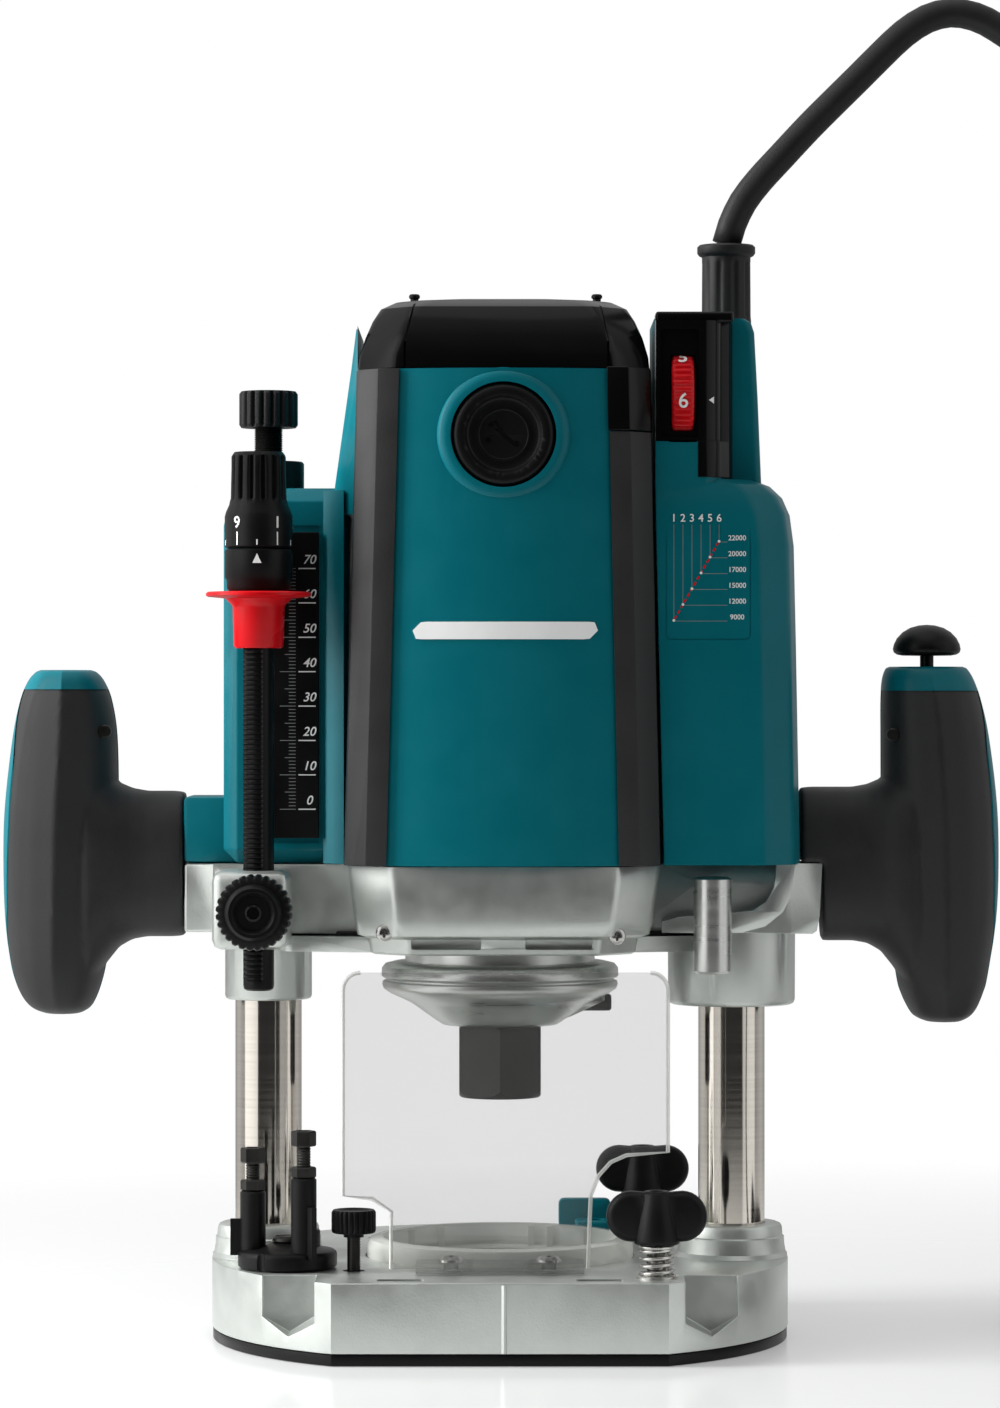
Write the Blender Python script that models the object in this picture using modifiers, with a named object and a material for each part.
"""Plunge router: a motor head that slides down two columns on a round, flat-fronted base.

All sizes below are in millimetres and the helpers turn them into metres. The spindle's axis is
the Z axis of the empty called router, X runs to the right and Y away from the operator's front.
"""
import math

import bmesh
import bpy
from mathutils import Matrix, Vector

MM = 0.001
GAP = 0.3

# Base
BASE_RADIUS = 85.0
BASE_FLAT = -70.4
BASE_TOP = 23.3
SOLE_THICKNESS = 3.1
THROAT_RADIUS = 30.0
SPINDLE_SHIFT = -7.5            # puts the middle of the base's depth over the world origin
CHANNEL_X = 60.0                # the edge guide's channels in the front of the base

# Columns, and what slides on them
COLUMN_X = 68.4
COLUMN_RADIUS = 9.8
COLUMN_BORE = 7.3
COLUMN_TOP = 165.0
COLUMN_FOOT = 21.3
SLEEVE_RADIUS = 10.2
SPRING_SEAT = 60.0
SPRING_CEILING = 238.0
STUD_RADIUS = 4.3

# Head
SPLIT_Z = 139.6                 # top of the aluminium bracket, bottom of the plastic housings
HOUSING_TOP = 282.0
HOUSING_BORE = 38.0
TOWER_TOP = 249.0
STRIP_SPLIT = 264.0             # where the cover's cheek meets the right strip
BRUSH_Z = 263.0
BRUSH_X = 1.0

# Depth stop
ROD_X = -69.6
ROD_Y = -34.0
ROD_RADIUS = 4.45
ROD_BOTTOM = 103.4
TURRET = (-61.3, -33.0)
CLAMP_X = -69.9
CLAMP_Z = 126.7

# Front and rear knobs on the base
WING_FRONT = (44.4, -58.0, 33.0)
WING_REAR = (43.9, 60.0, 35.0)
THUMB = (-42.0, -40.0)
LEVER = (29.0, 51.0)
TURRET_POST_RADIUS = 10.0       # from the turret's axis to its posts

# Spindle
SHAFT_RADIUS = 8.4
NUT_LOW = 70.0
NUT_HIGH = 91.0
NUT_FLATS = 24.0
COLLET_BORE = 6.35
SHAFT_LOCK = (0.0, 4.0, 97.6)   # a point on the lock pin's axis, which runs along X
PLUNGE_LOCK = (-30.0, 0.0, 127.0)

# Speed dial
DIAL_X = 52.7
DIAL_Y = -26.0
DIAL_Z = 275.6
DIAL_RADIUS = 13.5
DIAL_HALF_WIDTH = 3.3

# Grips
GRIP_X = 130.0
GRIP_SPLIT_Y = 3.0              # where the black front meets the teal back
BUTTON = (126.0, -1.5, 0.0)
BUTTON_STEM = 2.0

# Cord, in millimetres from the world origin
CORD_RADIUS = 4.3
GUARD = (67.1, 5.0)
GUARD_TOP = 322.0
COIL_CENTRE = (222.5, 12.0)
COIL_MIDDLE = 47.5
COIL_WIDTH = 26.0
COIL_HEIGHT = 17.3
PLUG_AXIS_Z = 12.8

COLOURS = {
    "teal": ((0.012, 0.20, 0.23), 0.38, 0.0),
    "black": ((0.02, 0.02, 0.022), 0.45, 0.0),
    "rubber": ((0.03, 0.03, 0.032), 0.75, 0.0),
    "aluminium": ((0.60, 0.62, 0.60), 0.42, 1.0),
    "steel": ((0.62, 0.60, 0.57), 0.22, 1.0),
    "dark_steel": ((0.09, 0.09, 0.09), 0.38, 1.0),
    "red": ((0.62, 0.02, 0.035), 0.35, 0.0),
    "clear": ((0.85, 0.88, 0.88), 0.08, 0.0),
    "copper": ((0.70, 0.32, 0.16), 0.35, 1.0),
    "carbon": ((0.04, 0.04, 0.04), 0.6, 0.0),
    "nylon": ((0.05, 0.05, 0.052), 0.5, 0.0),
}


# ---------------------------------------------------------------- scene and materials

def clear_scene():
    for obj in list(bpy.data.objects):
        bpy.data.objects.remove(obj, do_unlink=True)


def make_collection(name):
    collection = bpy.data.collections.new(name)
    bpy.context.scene.collection.children.link(collection)
    return collection


def material(name):
    found = bpy.data.materials.get(name)
    if found:
        return found
    colour, roughness, metallic = COLOURS[name]
    made = bpy.data.materials.new(name)
    made.use_nodes = True
    shader = made.node_tree.nodes["Principled BSDF"]
    shader.inputs["Base Color"].default_value = (*colour, 1.0)
    shader.inputs["Roughness"].default_value = roughness
    shader.inputs["Metallic"].default_value = metallic
    if name == "clear":
        shader.inputs["Alpha"].default_value = 0.3
    return made


clear_scene()
PARTS = make_collection("plunge_router")
CUTTERS = make_collection("cutters")
ROUTER = bpy.data.objects.new("router", None)
ROUTER.location.y = SPINDLE_SHIFT * MM
PARTS.objects.link(ROUTER)


def add(name, mesh, finish=None, at=(0, 0, 0), turn=(0, 0, 0), parent=ROUTER):
    """Put a mesh in the scene: a part if it has a finish, otherwise a cutter."""
    obj = bpy.data.objects.new(name, mesh)
    obj.location = Vector(at) * MM
    obj.rotation_euler = turn
    obj.parent = parent
    if finish:
        PARTS.objects.link(obj)
        mesh.materials.append(material(finish))
    else:
        CUTTERS.objects.link(obj)
        obj.hide_render = True
        obj.display_type = "WIRE"
    mesh.shade_smooth()
    mesh.set_sharp_from_angle(angle=math.radians(35))
    return obj


# ---------------------------------------------------------------- shapes

def box(name, low, high, finish=None, at=(0, 0, 0)):
    """A box between two corners, given relative to the point at."""
    low, high = Vector(low) * MM, Vector(high) * MM
    bm = bmesh.new()
    bmesh.ops.create_cube(bm, size=1.0)
    bmesh.ops.scale(bm, vec=high - low, verts=bm.verts)
    bmesh.ops.translate(bm, vec=(low + high) / 2, verts=bm.verts)
    return add(name, to_mesh(bm, name), finish, at)


def to_mesh(bm, name):
    mesh = bpy.data.meshes.new(name)
    bmesh.ops.recalc_face_normals(bm, faces=bm.faces)
    bm.to_mesh(mesh)
    bm.free()
    return mesh


TURNS = {"Z": (0, 0, 0), "X": (0, math.pi / 2, 0), "-Y": (math.pi / 2, 0, 0), "Y": (-math.pi / 2, 0, 0)}


def rod(name, radius, low, high, at, finish=None, along="Z", sides=32):
    """A cylinder from low to high along an axis through at. The third value of at is its zero."""
    bm = bmesh.new()
    bmesh.ops.create_cone(bm, cap_ends=True, segments=sides, radius1=radius * MM, radius2=radius * MM,
                          depth=(high - low) * MM)
    bmesh.ops.translate(bm, vec=(0, 0, (low + high) / 2 * MM), verts=bm.verts)
    return add(name, to_mesh(bm, name), finish, at, TURNS[along])


def turned(name, profile, at, finish=None, along="Z", sides=32, hollow=False):
    """A profile of (radius, height) points, from the top of its outer side down, spun about its axis."""
    points = [Vector((radius * MM, 0, height * MM)) for radius, height in profile]
    edges = [(i, i + 1) for i in range(len(points) - 1)]
    if hollow:
        edges.append((len(points) - 1, 0))
    mesh = bpy.data.meshes.new(name)
    mesh.from_pydata(points, edges, [])
    obj = add(name, mesh, finish, at, TURNS[along])
    screw = obj.modifiers.new("spin", "SCREW")
    screw.axis = "Z"
    screw.steps = sides
    screw.render_steps = sides
    screw.use_merge_vertices = True
    screw.merge_threshold = 0.00001
    return obj


def ring(name, outer, inner, low, high, at, finish=None, along="Z", sides=32):
    profile = [(outer, high), (outer, low), (inner, low), (inner, high)]
    return turned(name, profile, at, finish, along, sides, hollow=True)


def loft(name, rings, finish=None, at=(0, 0, 0)):
    """A closed skin through rings of equal point counts, with flat ends."""
    bm = bmesh.new()
    rows = [[bm.verts.new(Vector(point) * MM) for point in one] for one in rings]
    count = len(rows[0])
    for lower, upper in zip(rows, rows[1:]):
        for i in range(count):
            j = (i + 1) % count
            bm.faces.new((lower[i], lower[j], upper[j], upper[i]))
    bm.faces.new(list(reversed(rows[0])))
    bm.faces.new(rows[-1])
    return add(name, to_mesh(bm, name), finish, at)


def solid_from_curve(curve_obj, name):
    """The curve's own closed mesh, with its loose caps welded."""
    bpy.context.view_layer.update()
    graph = bpy.context.evaluated_depsgraph_get()
    mesh = bpy.data.meshes.new_from_object(curve_obj.evaluated_get(graph))
    matrix = curve_obj.matrix_world.copy()
    bpy.data.objects.remove(curve_obj, do_unlink=True)
    bm = bmesh.new()
    bm.from_mesh(mesh)
    bm.transform(matrix)
    bmesh.ops.remove_doubles(bm, verts=bm.verts, dist=0.000002)
    mesh.clear_geometry()
    mesh.materials.clear()
    mesh.name = name
    bmesh.ops.recalc_face_normals(bm, faces=bm.faces)
    bm.to_mesh(mesh)
    bm.free()
    return mesh


def prism(name, outline, low, high, finish=None, at=(0, 0, 0), plane="XY", holes=()):
    """A flat outline with holes, given its thickness from low to high across its plane."""
    curve = bpy.data.curves.new(name, "CURVE")
    curve.dimensions = "2D"
    curve.fill_mode = "BOTH"
    curve.extrude = (high - low) / 2 * MM
    for points in (outline, *holes):
        spline = curve.splines.new("POLY")
        spline.points.add(len(points) - 1)
        for target, (u, v) in zip(spline.points, points):
            target.co = (u * MM, v * MM, 0, 1)
        spline.use_cyclic_u = True
    guide = bpy.data.objects.new(name, curve)
    middle = (low + high) / 2 * MM
    if plane == "XZ":
        guide.matrix_world = Matrix.Translation((0, middle, 0)) @ Matrix.Rotation(math.pi / 2, 4, "X")
    else:
        guide.matrix_world = Matrix.Translation((0, 0, middle))
    CUTTERS.objects.link(guide)
    return add(name, solid_from_curve(guide, name), finish, at)


def tube(name, points, radius, finish, resolution=2, parent=ROUTER):
    """A round wire or cable through points."""
    curve = bpy.data.curves.new(name, "CURVE")
    curve.dimensions = "3D"
    curve.bevel_depth = radius * MM
    curve.bevel_resolution = resolution
    curve.use_fill_caps = True
    spline = curve.splines.new("POLY")
    spline.points.add(len(points) - 1)
    for target, point in zip(spline.points, points):
        target.co = (*(Vector(point) * MM), 1)
    guide = bpy.data.objects.new(name, curve)
    CUTTERS.objects.link(guide)
    return add(name, solid_from_curve(guide, name), finish, parent=parent)


def arc(centre, radius, start, end, steps):
    """Points on an arc from start to end degrees."""
    angles = [math.radians(start + (end - start) * i / steps) for i in range(steps + 1)]
    return [(centre[0] + radius * math.cos(a), centre[1] + radius * math.sin(a)) for a in angles]


def combine(target, tools, operation):
    for tool in tools:
        step = target.modifiers.new(tool.name, "BOOLEAN")
        step.operation = operation
        step.solver = "EXACT"
        step.object = tool
    return target


def cut(target, *tools):
    return combine(target, tools, "DIFFERENCE")


def join(target, *tools):
    return combine(target, tools, "UNION")


def keep_inside(target, *tools):
    return combine(target, tools, "INTERSECT")


def bevel(obj, width, segments=2, angle=40):
    step = obj.modifiers.new("edges", "BEVEL")
    step.width = width * MM
    step.segments = segments
    step.limit_method = "ANGLE"
    step.angle_limit = math.radians(angle)
    return obj


def coil_points(radius, low, high, pitch, at, steps=9):
    """A compression spring's centre line, with one closed turn at each end."""
    turns = (high - low) / pitch
    count = int(turns * steps)
    points = []
    for i in range(count + 1):
        angle = 2 * math.pi * turns * i / count
        points.append((at[0] + radius * math.cos(angle), at[1] + radius * math.sin(angle),
                       low + (high - low) * i / count))
    return points


# ---------------------------------------------------------------- base

def d_outline(radius, flat, steps=60):
    start = math.degrees(math.asin(flat / radius))
    return arc((0, 0), radius, start, 180 - start, steps)


def make_sole():
    circle = arc((0, 0), THROAT_RADIUS, 0, 352.5, 47)
    prism("sole_plate", d_outline(BASE_RADIUS - 0.4, BASE_FLAT + 0.4), 0, SOLE_THICKNESS, "black",
          holes=[circle])


def make_base():
    low = SOLE_THICKNESS + GAP
    body = prism("base_casting", d_outline(BASE_RADIUS, BASE_FLAT), low, BASE_TOP, "aluminium")
    for side in (-1, 1):
        foot = turned(f"foot_{side}", [(0, 33), (14.8, 33), (15.6, BASE_TOP), (15.6, 15), (0, 15)],
                      (side * COLUMN_X, 0, 0), sides=36)
        join(body, foot)
    for side in (-1, 1):
        x = side * CHANNEL_X
        socket = rod(f"socket_{side}", COLUMN_RADIUS + GAP, COLUMN_FOOT - GAP, 40,
                     (side * COLUMN_X, 0, 0))
        outline = [(x - 7.3, 30), (x - 7.3, 12), (x, 6.7), (x + 7.3, 12), (x + 7.3, 30)]
        channel = prism(f"channel_{side}", outline, -90, -50, plane="XZ")
        cut(body, socket, channel)
    throat = rod("throat", THROAT_RADIUS, 0, 40, (0, 0, 0), sides=48)
    seat = rod("ring_seat", 39.8, 19.5, 40, (0, 0, 0), sides=48)
    cut(body, throat, seat)
    for name, (x, y, _) in (("front", WING_FRONT), ("rear", WING_REAR)):
        cut(body, rod(f"wing_hole_{name}", 3.4, 11.5, 40, (x, y, 0), sides=16))
    cut(body, rod("thumb_hole", 2.4, 11.5, 40, (*THUMB, 0), sides=16))


def make_columns():
    for side, name in ((-1, "left"), (1, "right")):
        profile = [(0, SPRING_SEAT), (COLUMN_BORE, SPRING_SEAT), (COLUMN_BORE, COLUMN_TOP),
                   (COLUMN_RADIUS - 1, COLUMN_TOP), (COLUMN_RADIUS, COLUMN_TOP - 1.2),
                   (COLUMN_RADIUS, COLUMN_FOOT), (0, COLUMN_FOOT)]
        turned(f"guide_column_{name}", profile, (side * COLUMN_X, 0, 0), "steel")
        points = coil_points(5.9, SPRING_SEAT + 1.4, SPRING_CEILING - 1.4, 11.0, (side * COLUMN_X, 0))
        tube(f"plunge_spring_{name}", points, 0.85, "dark_steel", resolution=0)
    rod("height_limit_stud", STUD_RADIUS, SPRING_SEAT + GAP, 277, (-COLUMN_X, 0, 0), "dark_steel", sides=20)


def make_shield():
    profile = [(37.5, 29), (39.4, 26.5), (39.4, 19.8), (30.6, 19.8), (30.6, 22), (34.5, 23.6), (34.5, 29)]
    clear_ring = turned("shield_ring", profile, (0, 0, 0), sides=48, hollow=True)
    foot = box("shield_foot", (-24, -53.4, 23.7), (24, -36.5, 27.6))
    outline = [(-44.7, 46), (-36.4, 45.2), (-31, 41.5), (-31, 25), (25, 25), (25.8, 46), (28, 51.7),
               (31.5, 55.6), (36, 57.6), (47.8, 58.5)]
    outline += arc((42.8, 104.5), 5, 0, 90, 4)
    outline += arc((-39.7, 104.5), 5, 90, 180, 4)
    join(prism("chip_shield", outline, -52.8, -51.4, "clear", plane="XZ"), foot, clear_ring)


def make_wing_knob(name, x, y, low):
    """A screw with a tapered boss and two wings, on the spring that keeps it from shaking loose."""
    profile = [(0, 16), (4.4, 16), (5.2, 15), (6.6, 3), (6.6, 0), (3.0, 0), (3.0, -low + 12), (0, -low + 12)]
    knob = turned(f"wing_knob_{name}", profile, (x, y, low), "black", sides=24)
    outline = arc((8.8, 9.0), 5.6, -70, 100, 7) + [(0, 13.5)] + arc((-8.8, 9.0), 5.6, 80, 250, 7)
    join(knob, prism(f"wings_{name}", outline, -2.6, 2.6, at=(x, y, low), plane="XZ"))
    points = coil_points(4.5, BASE_TOP + 1.1, low - 1.1, 2.6, (x, y), steps=8)
    tube(f"wing_spring_{name}", points, 0.65, "steel", resolution=0)


def make_base_knobs():
    make_wing_knob("front", *WING_FRONT)
    make_wing_knob("rear", *WING_REAR)
    profile = [(0, 40.8), (5.9, 40.8), (6.4, 40.2), (6.4, 34.2), (2.0, 34.2), (2.0, 12), (0, 12)]
    turned("thumb_screw", profile, (*THUMB, 0), "black", sides=24)
    lever = box("guide_release_lever", (-6, -6, BASE_TOP + GAP), (6, 7, 28.4), "teal", at=(*LEVER, 0))
    join(lever, box("lever_tab", (-11, 4, 24.5), (5, 8.5, 34), at=(*LEVER, 0)))


def turret_post(angle):
    """The foot of the turret's post at an angle in degrees."""
    return (TURRET[0] + TURRET_POST_RADIUS * math.cos(math.radians(angle)),
            TURRET[1] + TURRET_POST_RADIUS * math.sin(math.radians(angle)), 0)


def make_turret():
    """The stepped stop: a disc with a short and a tall screw and one bare platform."""
    profile = [(0, 31.5), (3.2, 31.2), (4.2, 28.5), (13.8, 28.5), (14.3, 28), (14.3, BASE_TOP + GAP),
               (0, BASE_TOP + GAP)]
    disc = turned("stop_turret", profile, (*TURRET, 0), "nylon", sides=40)
    for label, angle, top, head in (("short", 180, 45.5, 58.0), ("tall", -60, 50.0, 63.6)):
        at = turret_post(angle)
        join(disc, rod(f"post_{label}", 3.7, 26, top, at, sides=16))
        cut(disc, rod(f"post_hole_{label}", 2.4, 34, top + 1, at, sides=12))
        bolt = rod(f"stop_bolt_{label}", 2.0, 35, head - 1, at, "dark_steel", sides=12)
        join(bolt, rod(f"bolt_head_{label}", 3.5, head - 4.4, head, at, sides=6))
    join(disc, rod("post_bare", 4.1, 26, 33.5, turret_post(60), sides=16))


# ---------------------------------------------------------------- head: castings and housings

def octagon(left, right, half_depth, corner, z):
    """A plan outline with four chamfered corners, from the front left corner round."""
    return [(left + corner, -half_depth, z), (right - corner, -half_depth, z),
            (right, -half_depth + corner, z), (right, half_depth - corner, z),
            (right - corner, half_depth, z), (left + corner, half_depth, z),
            (left, half_depth - corner, z), (left, -half_depth + corner, z)]


def make_bracket():
    body = loft("bracket_casting", [octagon(-37.5, 39.0, 40, 12, 114), octagon(-41, 43, 44, 12, 120),
                                    octagon(-44, 46.5, 45, 12, SPLIT_Z - GAP)], "aluminium")
    arms = box("bracket_arms", (-84, -20, 118.8), (86, 20, SPLIT_Z - GAP))
    block = bevel(box("clamp_block", (-82.6, -44.6, 115.6), (-60, -15, 138)), 1.5)
    stub_left = rod("stub_left", 10.1, -92.5, -78, (0, 0, 128.9), along="X", sides=24)
    stub_right = rod("stub_right", 10.1, 78, 94.4, (0, 0, 128.9), along="X", sides=24)
    lug = box("post_lug", (56.5, -24.2, 119), (66.5, -15, 134))
    profile = [(0, 138), (12.8, 138), (12.8, 99.6), (12.2, 99), (0, 99)]
    left = turned("boss_left", profile, (-COLUMN_X, 0, 0), sides=36)
    profile = [(0, 138), (17.8, 138), (18.8, 118), (18.8, 98.2), (18.1, 97.5), (0, 97.5)]
    right = turned("boss_right", profile, (COLUMN_X, 0, 0), sides=36)
    join(body, arms, block, stub_left, stub_right, lug, left, right)
    for side in (-1, 1):
        cut(body, rod(f"sleeve_{side}", SLEEVE_RADIUS, 80, 150, (side * COLUMN_X, 0, 0)))
    cut(body, rod("depth_rod_hole", ROD_RADIUS + GAP, 100, 150, (ROD_X, ROD_Y, 0), sides=20),
        rod("clamp_hole", 3.4, -60, -37, (CLAMP_X, 0, CLAMP_Z), along="Y", sides=16),
        rod("bearing_seat", 17.3, 100, 132.4, (0, 0, 0)), rod("spindle_way", 9.4, 120, 150, (0, 0, 0)),
        rod("fan_well", HOUSING_BORE, 134.5, 150, (0, 0, 0)),
        rod("lock_hole", 3.4, 44, 50, PLUNGE_LOCK, along="Y", sides=16))


def make_retainer():
    """The ring that holds the lower bearing in, the bearing, and the steel post at the front."""
    profile = [(28, 113.6), (28, 110), (35, 109.4), (35, 101.2), (26, 97.4), (17.6, 91.8), (17.0, 91.5),
               (9.6, 91.5), (9.6, 113.6)]
    retainer = turned("bearing_retainer", profile, (0, 0, 0), "aluminium", sides=48, hollow=True)
    cut(retainer, rod("lock_way", 3.0, 9, 40, SHAFT_LOCK, along="X", sides=16))
    ring("lower_bearing", 17.0, SHAFT_RADIUS + GAP, 118, 131.6, (0, 0, 0), "steel")
    rod("accessory_post", 5.5, 108, 136, (61.5, -30, 0), "steel", sides=28)


def make_housing():
    low = SPLIT_Z
    plans = [octagon(-45, 46.5, 45, 12.5, low), octagon(-41.3, 43.4, 45, 12.5, HOUSING_TOP)]
    body = loft("motor_housing", plans, "teal")
    wall = [(-48.2, TOWER_TOP + GAP), (-42.2, 295.2), (-41.5, 295.2), (-41.4, 282), (-40.4, 281),
            (-40.4, TOWER_TOP + GAP)]
    join(body, prism("side_wall", wall, -30, 28, plane="XZ"))
    for y0, y1, side in ((-47, -30, "front"), (30, 47, "rear")):
        join(body, rod(f"brush_rim_{side}", 19, y0, y1, (BRUSH_X, 0, BRUSH_Z), along="Y", sides=36))
    cut(body, rod("motor_bore", HOUSING_BORE, low - 5, 250, (0, 0, 0), sides=40),
        rod("commutator_bore", 24, 240, 272.2, (0, 0, 0)),
        rod("upper_seat", 11.3, 260, 280.4, (0, 0, 0), sides=24))
    for y0, y1, side in ((-50, -20, "front"), (20, 50, "rear")):
        cut(body, rod(f"brush_way_{side}", 12.6, y0, y1, (BRUSH_X, 0, BRUSH_Z), along="Y", sides=28))
    for y0, y1, side in ((-50, -38, "front"), (38, 50, "rear")):
        cut(body, rod(f"cap_seat_{side}", 14.9, y0, y1, (BRUSH_X, 0, BRUSH_Z), along="Y", sides=28))
    ring("upper_bearing", 11.0, 5.3, 273, 280, (0, 0, 0), "steel", sides=24)


def corner_strip(name, side, top, bottom, finish="rubber"):
    """A rubber strip lying on a chamfered front corner, two facets wide, tapering with the housing."""
    rings = []
    for z in (bottom, top):
        part = (z - SPLIT_Z) / (HOUSING_TOP - SPLIT_Z)
        edge = (-45 + 3.7 * part) if side < 0 else (46.5 - 3.1 * part)
        section = ((12.5, -45.6), (6.4, -44.4), (0.5, -38.6), (-0.1, -33.2), (0.25, -33.2), (12.2, -45.15))
        rings.append([(edge - side * inward, y, z) for inward, y in section])
    return loft(name, rings, finish)


def make_strips():
    corner_strip("side_strip_left", -1, HOUSING_TOP, SPLIT_Z)
    corner_strip("side_strip_right", 1, STRIP_SPLIT, SPLIT_Z)


def make_top_cover():
    z = HOUSING_TOP + GAP
    cover = loft("top_cover", [octagon(-41, 43.2, 45, 9, z), octagon(-39.5, 41.5, 44, 9, 290),
                               octagon(-33.5, 36, 38, 9, 301.5), octagon(-20, 22, 25, 6, 304)], "black")
    cut(cover, rod("cover_hollow", 30, 270, 298, (0, 0, 0)))
    join(cover, corner_strip("cover_cheek", 1, HOUSING_TOP + 1.5, STRIP_SPLIT + GAP, None))
    for x in (-25.1, 28.4):
        join(cover, rod(f"pip_{x:.0f}", 1.3, 295, 306, (x, -10, 0), sides=12))


def make_tower():
    low = SPLIT_Z
    side = [(-80.7, low), (-80.7, 240), (-77, 246.8), (-72, TOWER_TOP), (-43.9, TOWER_TOP), (-45.6, low)]
    tower = prism("depth_tower", side, -21, 26, "teal", plane="XZ")
    stub = rod("tower_stub", 10.4, -92.5, -76, (0, 0, 149.5), along="X", sides=24)
    collar = rod("tower_collar", 10.5, TOWER_TOP - 3, 257.5, (-COLUMN_X, 0, 0), sides=28)
    join(tower, stub, collar)
    cut(tower, box("tower_floor", (-100, -40, low - 9), (-40, 40, low)),
        rod("tower_bore", SLEEVE_RADIUS + GAP, low - 5, SPRING_CEILING, (-COLUMN_X, 0, 0)),
        rod("stud_way", STUD_RADIUS + GAP, 200, 270, (-COLUMN_X, 0, 0), sides=20))
    box("depth_scale", (-68.6, -22.9, 147), (-52.7, -21.3, 236), "black")


BEZEL_FRONT = [(44.8, -36)] + arc((57.6, -29.4), 6.6, -90, 0, 6)


def make_controller():
    low = SPLIT_Z
    rings = []
    for z, left, right in ((low, 47.2, 87.6), (205, 45.6, 86.4), (238, 44.9, 85.6), (247, 44.6, 82.0),
                           (251, 44.5, 75.0)):
        inset = 1.5 if z > 244 else 0
        rings.append([(left, -38 + inset, z), (right - 11, -38 + inset, z), (right - 2.4, -31 + inset, z),
                      (right, -18, z), (right, 24 - inset, z), (left, 24 - inset, z)])
    body = loft("controller_housing", rings, "teal")
    upper = bevel(box("controller_top", (44.6, -23.8, 246), (75.4, 18, 298)), 3.0, 3)
    below = prism("below_dial", BEZEL_FRONT + [(64.2, -20), (44.8, -20)], 240, 261.7)
    join(body, upper, below)
    cut(body, rod("controller_bore", SLEEVE_RADIUS + GAP, low - 5, SPRING_CEILING, (COLUMN_X, 0, 0)),
        box("board_pocket", (49, -35.4, low - 5), (72, -12, 235)),
        box("dial_pocket", (-4.2, -5, -14.4), (4.2, 14.2, 14.4), at=(DIAL_X, DIAL_Y, DIAL_Z)),
        rod("cord_way", 5.2, 285, 310, (*GUARD, 0), sides=20))


def make_dial():
    """The speed dial in its black bezel, the board behind it and the cord's guard beside it."""
    bezel = prism("dial_bezel", BEZEL_FRONT + [(64.2, -24.1), (44.8, -24.1)], 262, 296.6, "black")
    join(bezel, box("bezel_crown", (44.8, -33.5, 296), (67.4, -24.1, 299.4)))
    half = DIAL_HALF_WIDTH + 0.4
    at = (DIAL_X, DIAL_Y, DIAL_Z)
    cut(bezel, box("finger_recess", (46.2, -40, 262.8), (57.2, -34.9, 294)),
        rod("dial_slot", DIAL_RADIUS + 0.7, -half, half, at, along="X", sides=36))
    box("controller_board", (50.5, -33.6, 150), (70.5, -31.4, 230), "carbon")
    half = DIAL_HALF_WIDTH
    profile = [(0, half), (DIAL_RADIUS - 0.6, half), (DIAL_RADIUS, half - 0.6), (DIAL_RADIUS, 0.6 - half),
               (DIAL_RADIUS - 0.6, -half), (0, -half)]
    turned("speed_dial", profile, at, "red", along="X", sides=32)
    profile = [(8.5, GUARD_TOP), (8.5, 319.2), (7.0, 318.2), (7.3, 298.4), (4.7, 298.4), (4.7, GUARD_TOP)]
    turned("cord_guard", profile, (*GUARD, 0), "rubber", sides=28, hollow=True)


def make_brushes():
    for name, side, along in (("front", -1, "-Y"), ("rear", 1, "Y")):
        at = (BRUSH_X, 0, BRUSH_Z)
        turned(f"brush_cap_{name}", [(0, 47.8), (9.8, 47.8), (10.2, 48.4), (13.9, 48.4), (14.5, 47.6),
                                     (14.5, 38.4), (0, 38.4)], at, "black", along=along, sides=32)
        y = sorted((side * 14.2, side * 30.0))
        box(f"carbon_brush_{name}", (-3.5, y[0], -5), (3.5, y[1], 5), "carbon", at=at)


# ---------------------------------------------------------------- handles

def oval(count, power):
    """Points round a squarish oval that reaches 1 on each axis; a higher power makes it squarer."""
    points = []
    for i in range(count):
        angle = 2 * math.pi * (i + 0.5) / count
        c, s = math.cos(angle), math.sin(angle)
        points.append((math.copysign(abs(c) ** (2 / power), c), math.copysign(abs(s) ** (2 / power), s)))
    return points


def grip_ring(z, outer, inner, half_depth):
    """A rounded cross-section between two X limits."""
    middle, half = (outer + inner) / 2, (inner - outer) / 2
    return [(middle + half * u, half_depth * v, z) for u, v in oval(20, 2.6)]


LEFT_GRIP = ((94.7, -134, -124, 8), (98.5, -139.5, -119.8, 14), (110.6, -143.9, -116.6, 17.5),
             (125, -146.2, -114.4, 19), (143.7, -146.9, -113.2, 19.5), (158, -146.0, -112.8, 19.5),
             (176.5, -143.6, -113.6, 18.5), (190, -140.4, -117.0, 16.5), (196, -136.5, -120.0, 12.5))
RIGHT_GRIP = ((92.3, 126, 136, 8), (95.8, 121.6, 140.0, 13), (106, 117.6, 143.7, 17),
              (124, 114.6, 146.6, 19), (142, 113.2, 147.3, 19.5), (158, 112.7, 146.9, 19.5),
              (176.5, 112.6, 144.5, 18.5), (190, 112.6, 141.2, 16.5), (197, 114.2, 138.2, 12.5))


def neck_ring(x):
    return [(x, 14.0 * u, 138.9 + 20.2 * v) for u, v in oval(20, 3.0)]


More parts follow.
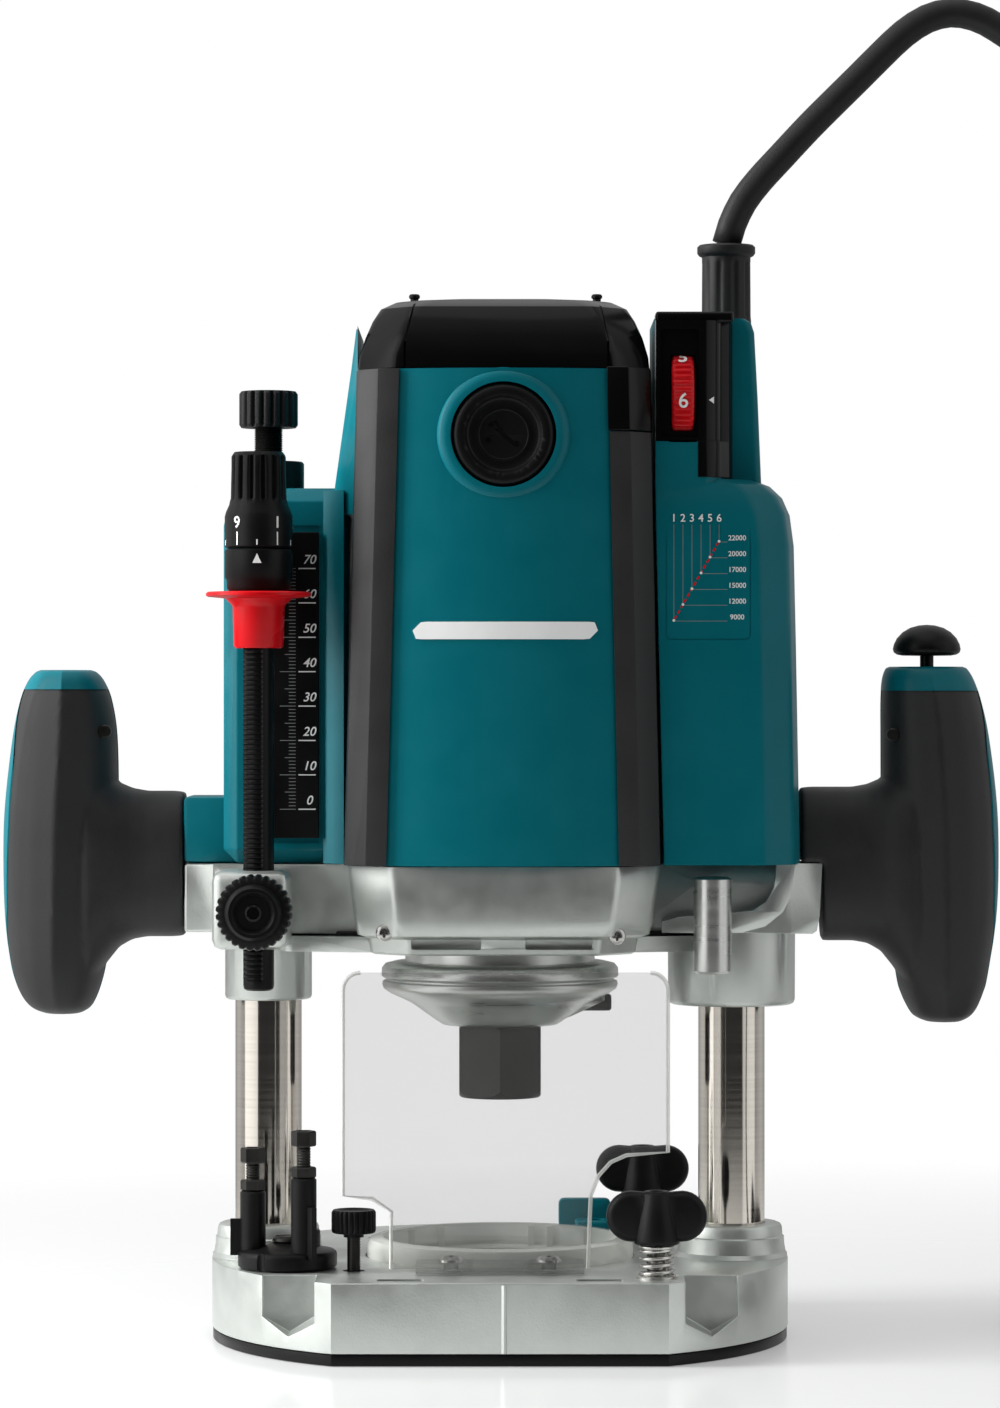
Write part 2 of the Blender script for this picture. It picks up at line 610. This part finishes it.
def make_grip(name, sections, neck_low, neck_high, finish_top, pocket=None):
    """A black front half with its neck, and a teal shell behind it that also caps the top.

    The neck's lower half ends at neck_low, on the casting, and its upper half at neck_high."""
    top = sections[-1][0]
    sign = 1 if sections[0][1] > 0 else -1
    rings = [grip_ring(*one) for one in sections]
    front = loft(f"{name}_grip", rings, "rubber")
    neck = loft(f"{name}_neck", [neck_ring(sign * x) for x in (min(neck_low, neck_high), 104, 122)])
    low_x, high_x = sorted((sign * 80, sign * neck_low))
    step = box(f"{name}_neck_step", (low_x, -30, 100), (high_x, 30, SPLIT_Z + GAP))
    cut(neck, step)
    shell = loft(f"{name}_grip_shell", rings, "teal")
    at = (sign * GRIP_X, 0, 0)
    behind = box(f"{name}_behind", (-30, GRIP_SPLIT_Y, 60), (30, 60, 260), at=at)
    cap = box(f"{name}_cap", (-30, -60, finish_top), (30, 60, finish_top + 60), at=at)
    behind_gap = box(f"{name}_behind_gap", (-31, GRIP_SPLIT_Y + GAP, 50), (31, 61, 270), at=at)
    cap_gap = box(f"{name}_cap_gap", (-32, -60.5, finish_top + GAP), (32, 60.5, top + 20), at=at)
    low_x, high_x = sorted((sign * 80, sign * 122.6))
    neck_clear = box(f"{name}_neck_clear", (low_x, -14.4, 118.3), (high_x, 14.4, 159.5))
    cut(front, behind, cap)
    join(front, neck)
    join(behind_gap, cap_gap)
    keep_inside(shell, behind_gap)
    cut(shell, neck_clear)
    if pocket:
        cut(shell, pocket)
        cut(front, pocket)


def make_grips():
    make_grip("left", LEFT_GRIP, 92.9, 92.9, 190.2)
    pocket = box("trigger_pocket", (123.6, 2.0, 141), (137.6, 40, 183))
    make_grip("right", RIGHT_GRIP, 94.8, 88.4, 189.8, pocket)
    clear = BUTTON_STEM + 0.4
    cut(bpy.data.objects["right_grip_shell"], rod("button_hole", clear, 186, 210, BUTTON, sides=16))
    cut(bpy.data.objects["right_grip"], rod("button_hole_deep", clear, 180, 195, BUTTON, sides=16))
    profile = [(0, 209.5), (4.5, 209.3), (8.6, 207.6), (10.0, 204.6), (9.6, 203.4), (4.6, 202.2),
               (BUTTON_STEM, 201.4), (BUTTON_STEM, 186), (0, 186)]
    turned("lock_button", profile, BUTTON, "black", sides=28)
    trigger = box("trigger", (124.2, 13.6, 142), (137, 23.4, 182), "black")
    bevel(trigger, 2.5, 3)
    box("trigger_switch", (124.6, 3.6, 146), (136.6, 8.8, 178), "carbon")


# ---------------------------------------------------------------- spindle and motor

def make_spindle():
    profile = [(0, 279.9), (5.0, 279.9), (5.0, 160), (SHAFT_RADIUS, 159), (SHAFT_RADIUS, 96), (7.6, 94.6),
               (7.6, 72.0), (COLLET_BORE, 72.0), (COLLET_BORE, 112), (0, 112)]
    turned("spindle_shaft", profile, (0, 0, 0), "steel")
    turned("armature", [(13.6, 270), (13.6, 254), (8, 252), (8, 226), (25.2, 224), (25.2, 168), (5.3, 168),
                        (5.3, 270)], (0, 0, 0), "copper", hollow=True)
    fan = ring("cooling_fan", 14, SHAFT_RADIUS + GAP, 143.5, 156, (0, 0, 0), "black", sides=28)
    join(fan, ring("fan_disc", 33, 12, 143.5, 145.5, (0, 0, 0), sides=28))
    for i in range(10):
        blade = box(f"blade_{i}", (12.5, -0.8, 144), (32, 0.8, 155))
        blade.rotation_euler.z = 2 * math.pi * i / 10
        join(fan, blade)
    ring("field_stator", 37.4, 26.6, 164, 228, (0, 0, 0), "dark_steel", sides=32)
    nut_radius = NUT_FLATS / 2 / math.cos(math.pi / 6)
    nut = rod("collet_nut", nut_radius, NUT_LOW, NUT_HIGH, (0, 0, 0), "dark_steel", sides=6)
    nut.rotation_euler.z = math.pi / 2
    profile = [(0, 95), (20, 95), (20, 74), (12.2, NUT_LOW - 1), (0, NUT_LOW - 1)]
    rounded = turned("nut_form", profile, (0, 0, 0), sides=36)
    keep_inside(nut, rounded)
    cut(nut, rod("nut_bore", 7.9, 71.6, 95, (0, 0, 0)), rod("tool_bore", COLLET_BORE, 60, 80, (0, 0, 0)))
    rod("shaft_lock", 2.5, 12.2, 33, SHAFT_LOCK, "dark_steel", along="X", sides=16)


# ---------------------------------------------------------------- depth stop on the head

def make_depth_stop():
    at = (ROD_X, ROD_Y, 0)
    rod("depth_rod", ROD_RADIUS, ROD_BOTTOM, 229, at, "black", sides=24)
    bore = ROD_RADIUS + GAP
    profile = [(6.4, 218.3), (15.2, 218.3), (15.2, 217.0), (8.8, 216.2), (7.4, 214.4), (7.2, 202.1),
               (bore, 202.1), (bore, 218.3)]
    flange = turned("depth_pointer", profile, at, "red", sides=32, hollow=True)
    cut(flange, box("pointer_flat", (-40, 9.9, 190), (40, 40, 230), at=at))
    head = turned("rod_head", [(0, 230.6), (9.8, 230.6), (9.8, 219.6), (9.0, 218.6), (0, 218.6)], at, "black")
    cut(head, rod("rod_socket", bore, 210, 229.3, at, sides=24))
    profile = [(0, 258.6), (7.2, 258.6), (7.7, 258.0), (7.7, 245.0), (8.2, 243.4), (9.8, 240.6),
               (9.8, 230.9), (0, 230.9)]
    turned("fine_adjust_knob", profile, at, "black")
    profile = [(0, 60.2), (5.6, 60.2), (7.4, 59.2), (9.8, 59.2), (10.7, 58.2), (10.7, 47.6), (9.6, 45.2),
               (3.0, 45.2), (3.0, 39.6), (0, 39.6)]
    turned("rod_clamp_knob", profile, (CLAMP_X, 0, CLAMP_Z), "black", along="-Y", sides=36)
    bore = STUD_RADIUS + GAP
    profile = [(0, 278.3), (8.2, 278.3), (8.7, 277.8), (8.7, 268.1), (8.2, 267.6), (bore, 267.6),
               (bore, 277.3), (0, 277.3)]
    turned("height_limit_nut", profile, (-COLUMN_X, 0, 0), "nylon", sides=28)


def make_plunge_lock():
    profile = [(0, 55.5), (7.2, 55.5), (8.2, 54.5), (8.2, 46.5), (7.2, 45.4), (3.0, 45.4), (3.0, 44.4),
               (0, 44.4)]
    lever = turned("plunge_lock_lever", profile, PLUNGE_LOCK, "black", along="Y", sides=28)
    arm = loft("lock_arm", [[(-4, -6, 46.6), (-4, 6, 46.6), (-4, 6, 52.5), (-4, -6, 52.5)],
                            [(-34, -5, 48.5), (-34, 5, 48.5), (-34, 5, 53.5), (-34, -5, 53.5)]])
    arm.location = Vector(PLUNGE_LOCK) * MM
    arm.rotation_euler = TURNS["Y"]
    join(lever, arm)


# ---------------------------------------------------------------- cord

CORD_ROUTE = ((67.1, -2.5, 322.3), (68.8, -2.5, 328.0), (72.1, -2.5, 334.9), (76.8, -2.5, 341.1),
              (83.6, -2.5, 348.5), (91.9, -2.5, 357.4), (99.3, -2.5, 364.8), (106.2, -2.5, 371.6),
              (113.0, -2.5, 378.4), (119.8, -2.5, 384.8), (126.6, -2.5, 389.2), (133.6, -2.5, 391.0),
              (140.8, -2.5, 389.9), (147.7, -2.6, 386.4), (161.0, -4.0, 375.5), (172.5, -9.0, 357.0),
              (179.5, -18.0, 330.0), (182.0, -32.0, 290.0), (181.2, -49.0, 240.0), (178.0, -65.5, 188.0),
              (173.5, -80.5, 138.0), (169.4, -92.0, 95.0), (166.9, -97.0, 62.0), (166.4, -93.5, 40.0),
              (166.4, -81.0, 23.5), (166.4, -62.0, 14.6), (166.4, -42.0, 13.0), (166.4, -20.0, 13.0))


def smooth_points(route, spacing):
    """Points at even steps along a centripetal spline through the route."""
    knots = [Vector(point) for point in route]
    knots = [2 * knots[0] - knots[1], *knots, 2 * knots[-1] - knots[-2]]
    fine = []
    for a, b, c, d in zip(knots, knots[1:], knots[2:], knots[3:]):
        t1 = (b - a).length ** 0.5
        t2 = t1 + (c - b).length ** 0.5
        t3 = t2 + (d - c).length ** 0.5
        for i in range(12):
            t = t1 + (t2 - t1) * i / 12
            ab, bc, cd = a.lerp(b, t / t1), b.lerp(c, (t - t1) / (t2 - t1)), c.lerp(d, (t - t2) / (t3 - t2))
            abc, bcd = ab.lerp(bc, t / t2), bc.lerp(cd, (t - t1) / (t3 - t1))
            fine.append(abc.lerp(bcd, (t - t1) / (t2 - t1)))
    fine.append(knots[-2])
    total = sum((b - a).length for a, b in zip(fine, fine[1:]))
    count = round(total / spacing)
    points, walked, index = [fine[0]], 0.0, 0
    for i in range(1, count):
        goal = total * i / count
        while walked + (fine[index + 1] - fine[index]).length < goal:
            walked += (fine[index + 1] - fine[index]).length
            index += 1
        step = fine[index + 1] - fine[index]
        points.append(fine[index] + step * ((goal - walked) / step.length))
    points.append(fine[-1])
    return points


def make_cord():
    tube("cord_tube", smooth_points(CORD_ROUTE, 11.0), CORD_RADIUS, "rubber", resolution=2, parent=None)
    x, y = COIL_CENTRE
    half = COIL_WIDTH / 2
    coil = ring("cord_coil", COIL_MIDDLE + half, COIL_MIDDLE - half, 0, COIL_HEIGHT, (x, y, 0), "rubber",
                sides=36)
    coil.parent = None
    make_plug(x + COIL_MIDDLE + half - CORD_RADIUS, y - 62.0)


def make_plug(x, y):
    """A round-pin mains plug lying on the floor, its pins pointing along -Y."""
    body_rings = []
    for v, half_x, half_z in ((18, 5.5, 5.5), (6, 9.0, 8.5), (-10, 16.0, 11.5), (-17, 18.5, 12.6),
                              (-30, 18.5, 12.6)):
        body_rings.append([(half_x * a, v, PLUG_AXIS_Z + half_z * b) for a, b in oval(16, 2.8)])
    plug = loft("mains_plug", body_rings, "black", at=(x, y, 0))
    plug.parent = None
    for side in (-1, 1):
        pin = rod(f"pin_{side}", 2.4, -49, -28, (x + side * 9.5, y, PLUG_AXIS_Z), along="Y", sides=12)
        pin.parent = None
        join(plug, pin)


def main():
    make_sole()
    make_base()
    make_columns()
    make_shield()
    make_base_knobs()
    make_turret()
    make_bracket()
    make_retainer()
    make_housing()
    make_strips()
    make_top_cover()
    make_tower()
    make_controller()
    make_dial()
    make_brushes()
    make_grips()
    make_spindle()
    make_depth_stop()
    make_plunge_lock()
    make_cord()


main()
